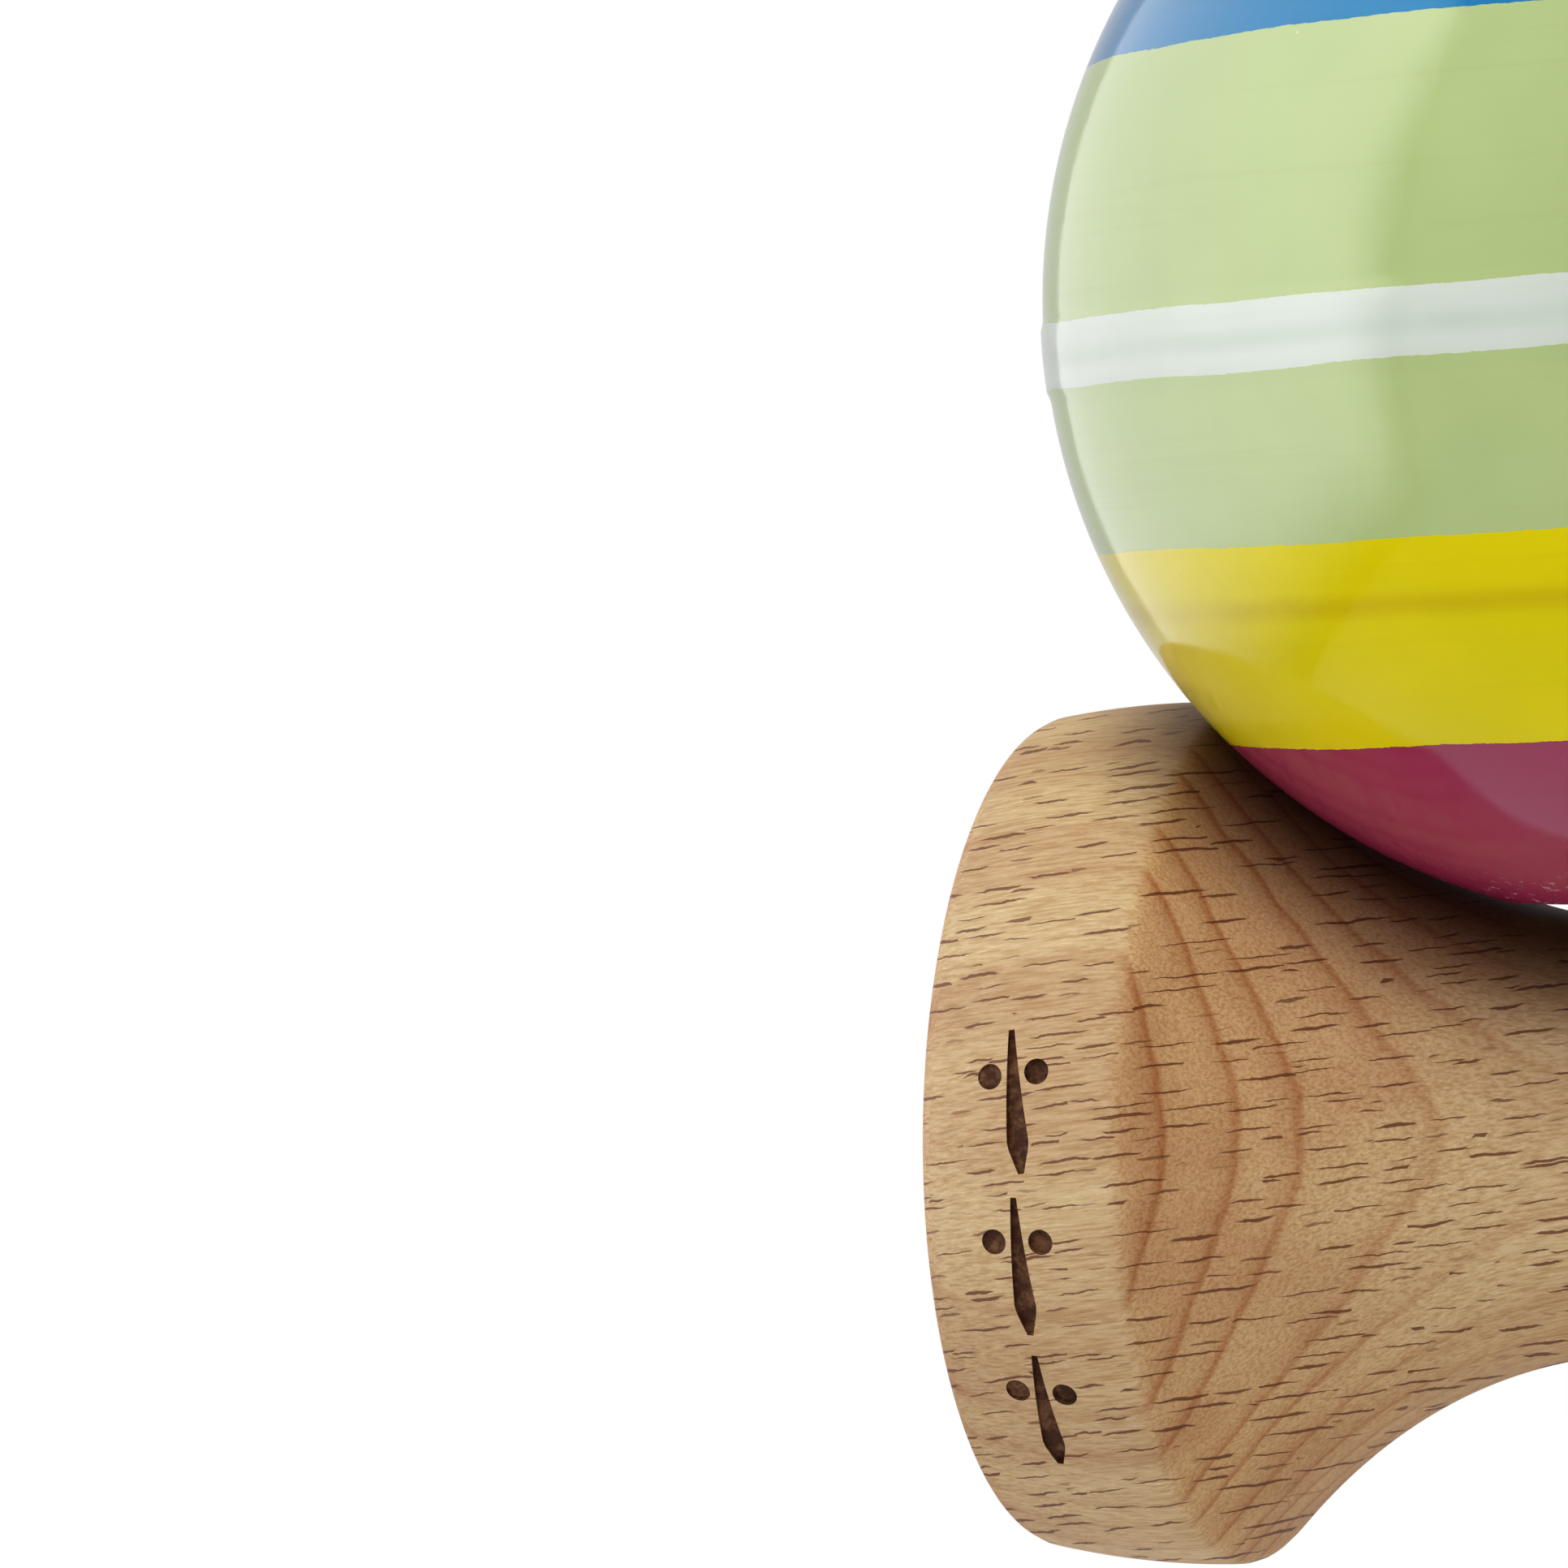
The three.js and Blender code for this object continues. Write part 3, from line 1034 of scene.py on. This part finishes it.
@dataclass
class Ball:
    """The ball: a lacquered sphere with a raised white band, a bevelled bore and a bead's pocket."""

    centre: Vector
    axis: Vector
    radius: float = 30.0
    edges: tuple[float, ...] = (-20.25, -10.69, -2.82, 0.45, 12.61)
    white_band: int = 2
    band_stand: float = 0.13
    band_slope: float = 0.28
    bore_radius: float = 8.75
    mouth_radius: float = 9.7
    bevel_depth: float = 1.3
    pocket_radius: float = 4.5
    pocket_floor: float = 19.0
    pocket_top: float = 25.5
    string_hole_radius: float = 1.5
    countersink: float = 1.1
    paint_depth: float = 0.2
    facets: int = 240
    stretches: int = 170

    def skin_radius(self, height: float) -> float:
        """Gives the distance of the skin from the centre, with the white band's step.

        Args:
            height: The height above the centre, along the ball's axis.

        Returns:
            The distance there.
        """
        low, high = self.edges[self.white_band], self.edges[self.white_band + 1]
        rise = min(height - low, high - height) / self.band_slope
        share = max(0.0, min(1.0, rise + 0.5))
        return self.radius - self.band_stand + self.band_stand * share * share * (3 - 2 * share)

    def upright(self) -> Quaternion:
        """Gives the turn from straight up to the ball's axis."""
        return Vector((0, 0, 1)).rotation_difference(self.axis)

    def build(self) -> bpy.types.Object:
        """Builds the ball.

        Returns:
            The finished piece.
        """
        turn = self.upright().inverted().to_euler()
        lacquer = LacquerFinish("banded_lacquer", self.centre, turn, self.edges).material()
        raw = BeechFinish("beech_in_the_bore", Grain.ALONG_HANDLE, self.centre).material()
        mouth_angle = -math.degrees(math.acos(self.mouth_radius / self.radius))
        hole = self.string_hole_radius + self.countersink
        top_angle = math.degrees(math.acos(hole / self.radius))
        skin: Outline = []
        for i in range(self.stretches + 1):
            angle = math.radians(mouth_angle + (top_angle - mouth_angle) * i / self.stretches)
            reach = self.skin_radius(self.radius * math.sin(angle))
            skin.append((reach * math.cos(angle), reach * math.sin(angle)))
        mouth_height = skin[0][1]
        inside: Outline = [
            (self.string_hole_radius, self.radius - self.countersink),
            (self.string_hole_radius, self.pocket_top),
            (self.pocket_radius, self.pocket_top),
            (self.pocket_radius, self.pocket_floor),
            (self.bore_radius, self.pocket_floor),
            (self.bore_radius, mouth_height + self.bevel_depth),
        ]
        bm = turned(skin + inside, self.facets, closed=True)
        paint_limit = (self.radius - 2 * self.band_stand - self.paint_depth) * MM
        for face in bm.faces:
            deepest = min(vert.co.length for vert in face.verts)
            face.material_index = int(deepest < paint_limit)
        place = Matrix.Translation(self.centre) @ self.upright().to_matrix().to_4x4()
        made = piece("ball", bm, place, [lacquer, raw])
        smooth_shade(made)
        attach(made, "ball")
        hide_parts("tama")
        return made


@dataclass
class Bead:
    """The turned bead that keeps the string's end inside the ball."""

    ball: Ball
    radius: float = 4.0
    height: float = 6.0
    hole_radius: float = 1.3
    rounding: float = 1.2
    facets: int = 64

    def build(self) -> bpy.types.Object:
        """Builds the bead.

        Returns:
            The finished piece.
        """
        half = self.height / 2
        outline: Outline = [(self.hole_radius, -half)]
        outline += arc((self.radius - self.rounding, self.rounding - half), self.rounding, -90, 0, 8)
        outline += arc((self.radius - self.rounding, half - self.rounding), self.rounding, 0, 90, 8)
        outline += [(self.hole_radius, half)]
        rise = (self.ball.pocket_floor + self.ball.pocket_top) / 2 * MM
        turn = self.ball.upright().to_matrix().to_4x4()
        place = Matrix.Translation(self.ball.centre) @ turn @ Matrix.Translation((0, 0, rise))
        wood = BeechFinish("beech_bead", Grain.ALONG_HANDLE, place.translation).material()
        made = piece("bead", turned(outline, self.facets, closed=True), place, [wood])
        smooth_shade(made)
        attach(made, "bead")
        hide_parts("tama_bead")
        return made


# ---- Handle -------------------------------------------------------------------------------------


@dataclass
class Handle:
    """The handle: base cup, grip, shoulder, shaft and spike, turned from one piece."""

    axis_height: float = 104.0
    base_radius: float = 17.5
    base_band: float = 5.0
    rim_radius: float = 16.7
    dish_radius: float = 15.2
    dish_depth: float = 5.5
    foot_height: float = 11.0
    foot_flare: float = 0.5
    waist_height: float = 25.0
    waist_radius: float = 8.6
    swell_drop: float = 40.0
    swell_radius: float = 10.3
    shoulder_radius: float = 7.6
    shoulder_length: float = 5.0
    shoulder_round: float = 0.5
    neck_radius: float = 10.34
    fit_gap: float = 0.3
    shaft_radius: float = 5.45
    tip_radius: float = 2.4
    string_hole_radius: float = 1.5
    facets: int = 192

    def grip(self, seat: float) -> Outline:
        """Gives the grip's curve from the base's rim up to the shoulder.

        Args:
            seat: The height of the handle's top.

        Returns:
            Its points.
        """
        swell = self.axis_height - self.swell_drop
        knots = [
            (self.rim_radius, 0.0),
            (self.base_radius, self.base_band),
            ((self.base_radius + self.waist_radius) / 2, self.foot_height),
            (self.waist_radius + self.foot_flare, (self.foot_height + self.waist_height) / 2),
            (self.waist_radius, self.waist_height),
            ((self.waist_radius + self.swell_radius) / 2, (self.waist_height + swell) / 2),
            (self.swell_radius, swell),
            ((self.swell_radius + self.shoulder_radius) / 2, (swell + seat) / 2),
            (self.shoulder_radius, seat - self.shoulder_length),
        ]
        points: Outline = []
        steps = 14
        for i in range(len(knots) - 1):
            around = [knots[max(0, min(len(knots) - 1, i + k))] for k in (-1, 0, 1, 2)]
            radii = [radius for radius, _ in around]
            heights = [height for _, height in around]
            for j in range(steps):
                share = j / steps
                points.append((spline_point(radii, share), spline_point(heights, share)))
        points.append(knots[-1])
        return points

    def build(self) -> bpy.types.Object:
        """Builds the handle.

        Returns:
            The finished piece.
        """
        _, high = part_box("ken")
        top = high.z / MM
        seat_drop = math.sqrt(self.neck_radius**2 - self.shoulder_radius**2)
        seat = self.axis_height - seat_drop - self.fit_gap
        shaft_top = self.axis_height + self.neck_radius
        taper = math.degrees((self.shaft_radius - self.tip_radius) / (top - shaft_top))
        hollow = dish(self.dish_radius, self.dish_depth, self.dish_depth, 18)
        outline = [(radius, self.dish_depth - height) for radius, height in hollow]
        outline += [(self.dish_radius, 0.0)]
        outline += self.grip(seat)
        corner = (self.shoulder_radius - self.shoulder_round, seat - self.shoulder_round)
        outline += arc(corner, self.shoulder_round, 0, 90, 5)
        outline += [(self.shaft_radius, seat), (self.shaft_radius, shaft_top)]
        tip = arc((0.0, top - self.tip_radius), self.tip_radius, taper, 90, 14)
        outline += tip[:-1] + [(0.0, top)]
        centre = Vector((0, 0, self.axis_height * MM))
        wood = BeechFinish("beech_handle", Grain.ALONG_HANDLE, centre).material()
        made = piece("handle", turned(outline, self.facets, closed=False), Matrix.Identity(4), [wood])
        across = Matrix.Translation(centre) @ Matrix.Rotation(math.pi / 2, 4, "X")
        carve(made, [rod("cross_hole", self.string_hole_radius, 4 * self.shaft_radius, across, wood)])
        smooth_shade(made)
        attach(made, "handle")
        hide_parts("ken")
        return made


# ---- Studio -------------------------------------------------------------------------------------


@dataclass(frozen=True)
class SoftLight:
    """A soft box, which isn't seen in the gloss."""

    name: str
    place: tuple[float, float, float]
    aim: tuple[float, float, float]
    width: float
    height: float
    radiance: float

    def build(self) -> None:
        """Hangs the light."""
        lamp = bpy.data.lights.new(self.name, "AREA")
        lamp.shape = "RECTANGLE"
        lamp.size = self.width
        lamp.size_y = self.height
        lamp.energy = self.radiance * math.pi * self.width * self.height
        holder = bpy.data.objects.new(self.name, lamp)
        holder.location = self.place
        towards = Vector(self.aim) - Vector(self.place)
        holder.rotation_euler = towards.to_track_quat("-Z", "Y").to_euler()
        holder.visible_camera = False
        holder.visible_glossy = False
        bpy.context.scene.collection.objects.link(holder)


@dataclass
class Studio:
    """A white studio: pale floor, soft lights and the camera."""

    card_radius: float = 0.13
    floor_radius: float = 0.25
    window_place: tuple[float, float, float] = (-0.5, -0.16, 0.42)
    window_width: float = 1.22
    window_height: float = 1.5
    sky_seen: float = 1.0
    sky_light: float = 0.2
    sky_in_gloss: float = 0.72
    camera_place: tuple[float, float, float] = (0.0778, -0.3026, 0.1705)
    camera_heading: float = -22.64
    camera_rise: float = -8.44
    camera_roll: float = -4.03
    lens: float = 149.15

    def floor(self) -> None:
        """Lays the floor: a round card, and a ring round it that is left out of the gloss."""
        card = FloorFinish("white_card").material()
        bm = bmesh.new()
        bmesh.ops.create_circle(bm, cap_ends=True, segments=128, radius=self.card_radius)
        piece("floor", bm, Matrix.Identity(4), [card])
        bm = bmesh.new()
        bmesh.ops.create_circle(bm, segments=128, radius=self.card_radius)
        bmesh.ops.create_circle(bm, segments=128, radius=self.floor_radius)
        bmesh.ops.bridge_loops(bm, edges=bm.edges)
        ring = piece("floor_ring", bm, Matrix.Identity(4), [card])
        ring.visible_glossy = False

    def sky(self) -> None:
        """Makes the surroundings: white to the eye, grey as a light."""
        world = bpy.data.worlds.new("white_room")
        world.use_nodes = True
        tree = world.node_tree
        tree.nodes.clear()
        path = tree.nodes.new("ShaderNodeLightPath")
        gloss = tree.nodes.new("ShaderNodeMapRange")
        gloss.inputs[3].default_value = self.sky_light
        gloss.inputs[4].default_value = self.sky_in_gloss
        seen = tree.nodes.new("ShaderNodeMapRange")
        seen.inputs[4].default_value = self.sky_seen
        background = tree.nodes.new("ShaderNodeBackground")
        background.inputs["Color"].default_value = (1, 1, 1, 1)
        output = tree.nodes.new("ShaderNodeOutputWorld")
        tree.links.new(path.outputs["Is Glossy Ray"], gloss.inputs[0])
        tree.links.new(path.outputs["Is Camera Ray"], seen.inputs[0])
        tree.links.new(gloss.outputs[0], seen.inputs[3])
        tree.links.new(seen.outputs[0], background.inputs["Strength"])
        tree.links.new(background.outputs[0], output.inputs[0])
        bpy.context.scene.world = world

    def lights(self) -> None:
        """Hangs the lights."""
        toy = (0, 0, 0.12)
        SoftLight("top_soft_box", (-0.15, -0.35, 0.75), toy, 0.7, 0.7, 3.3).build()
        SoftLight("low_soft_box", (-0.15, -0.6, -0.3), toy, 0.6, 0.5, 3.3).build()
        SoftLight("right_soft_box", (0.5, -0.5, -0.05), toy, 0.4, 0.5, 1.6).build()
        SoftLight("back_soft_box", (0.2, 0.8, 0.4), toy, 0.8, 0.8, 1.3).build()

    def window(self) -> None:
        """Hangs a bright window at the left, which is only seen in the gloss."""
        bm = bmesh.new()
        bmesh.ops.create_grid(bm, x_segments=1, y_segments=1, size=0.5)
        place = Matrix.Translation(self.window_place) @ Matrix.Rotation(math.pi / 2, 4, "Y")
        size = Matrix.Diagonal((self.window_height, self.window_width, 1, 1))
        foot = self.window_place[2] - self.window_height / 2
        glass = WindowFinish("window_light", self.window_place[1], self.window_width, foot).material()
        pane = piece("window", bm, place @ size, [glass])
        pane.visible_camera = False
        pane.visible_diffuse = False
        pane.visible_shadow = False

    def camera(self) -> None:
        """Sets up the camera."""
        lens = bpy.data.cameras.new("camera")
        lens.lens = self.lens
        lens.sensor_width = 36.0
        lens.clip_start = 0.01
        holder = bpy.data.objects.new("camera", lens)
        heading, rise = math.radians(self.camera_heading), math.radians(self.camera_rise)
        level_way = Vector((math.sin(heading), math.cos(heading), 0.0)) * math.cos(rise)
        forward = level_way + Vector((0.0, 0.0, math.sin(rise)))
        roll = Quaternion((0, 0, 1), math.radians(self.camera_roll))
        holder.rotation_euler = (forward.to_track_quat("-Z", "Y") @ roll).to_euler()
        holder.location = self.camera_place
        bpy.context.scene.collection.objects.link(holder)
        bpy.context.scene.camera = holder

    def build(self) -> None:
        """Builds the whole studio."""
        self.floor()
        self.sky()
        self.lights()
        self.window()
        self.camera()
        bpy.context.scene.view_settings.view_transform = "Standard"


# ---- The toy ------------------------------------------------------------------------------------


def main() -> None:
    """Builds the kendama and its studio, in order."""
    logging.basicConfig(level=logging.INFO, format="%(name)s: %(message)s")
    spin = next(joint for joint in frame["joints"] if joint["name"] == "ball_spin")
    big_cup = Cup(lip_radius=20.81, edge_radius=21.45, dish_depth=8.5)
    small_cup = Cup(lip_radius=18.6, edge_radius=19.2, dish_depth=7.5)
    ball = Ball(Vector(spin["pos_m"]), Vector(spin["axis"]))
    makers: list[tuple[str, Callable[[], object]]] = [
        ("camera, floor and lights", Studio().build),
        ("cross-piece", CrossPiece(big_cup, small_cup, BurntMarks(), ball.centre).build),
        ("ball", ball.build),
        ("bead", Bead(ball).build),
        ("handle", Handle().build),
    ]
    for name, build in makers:
        build()
        log.info("%s made", name)


if __name__ == "__main__":
    main()
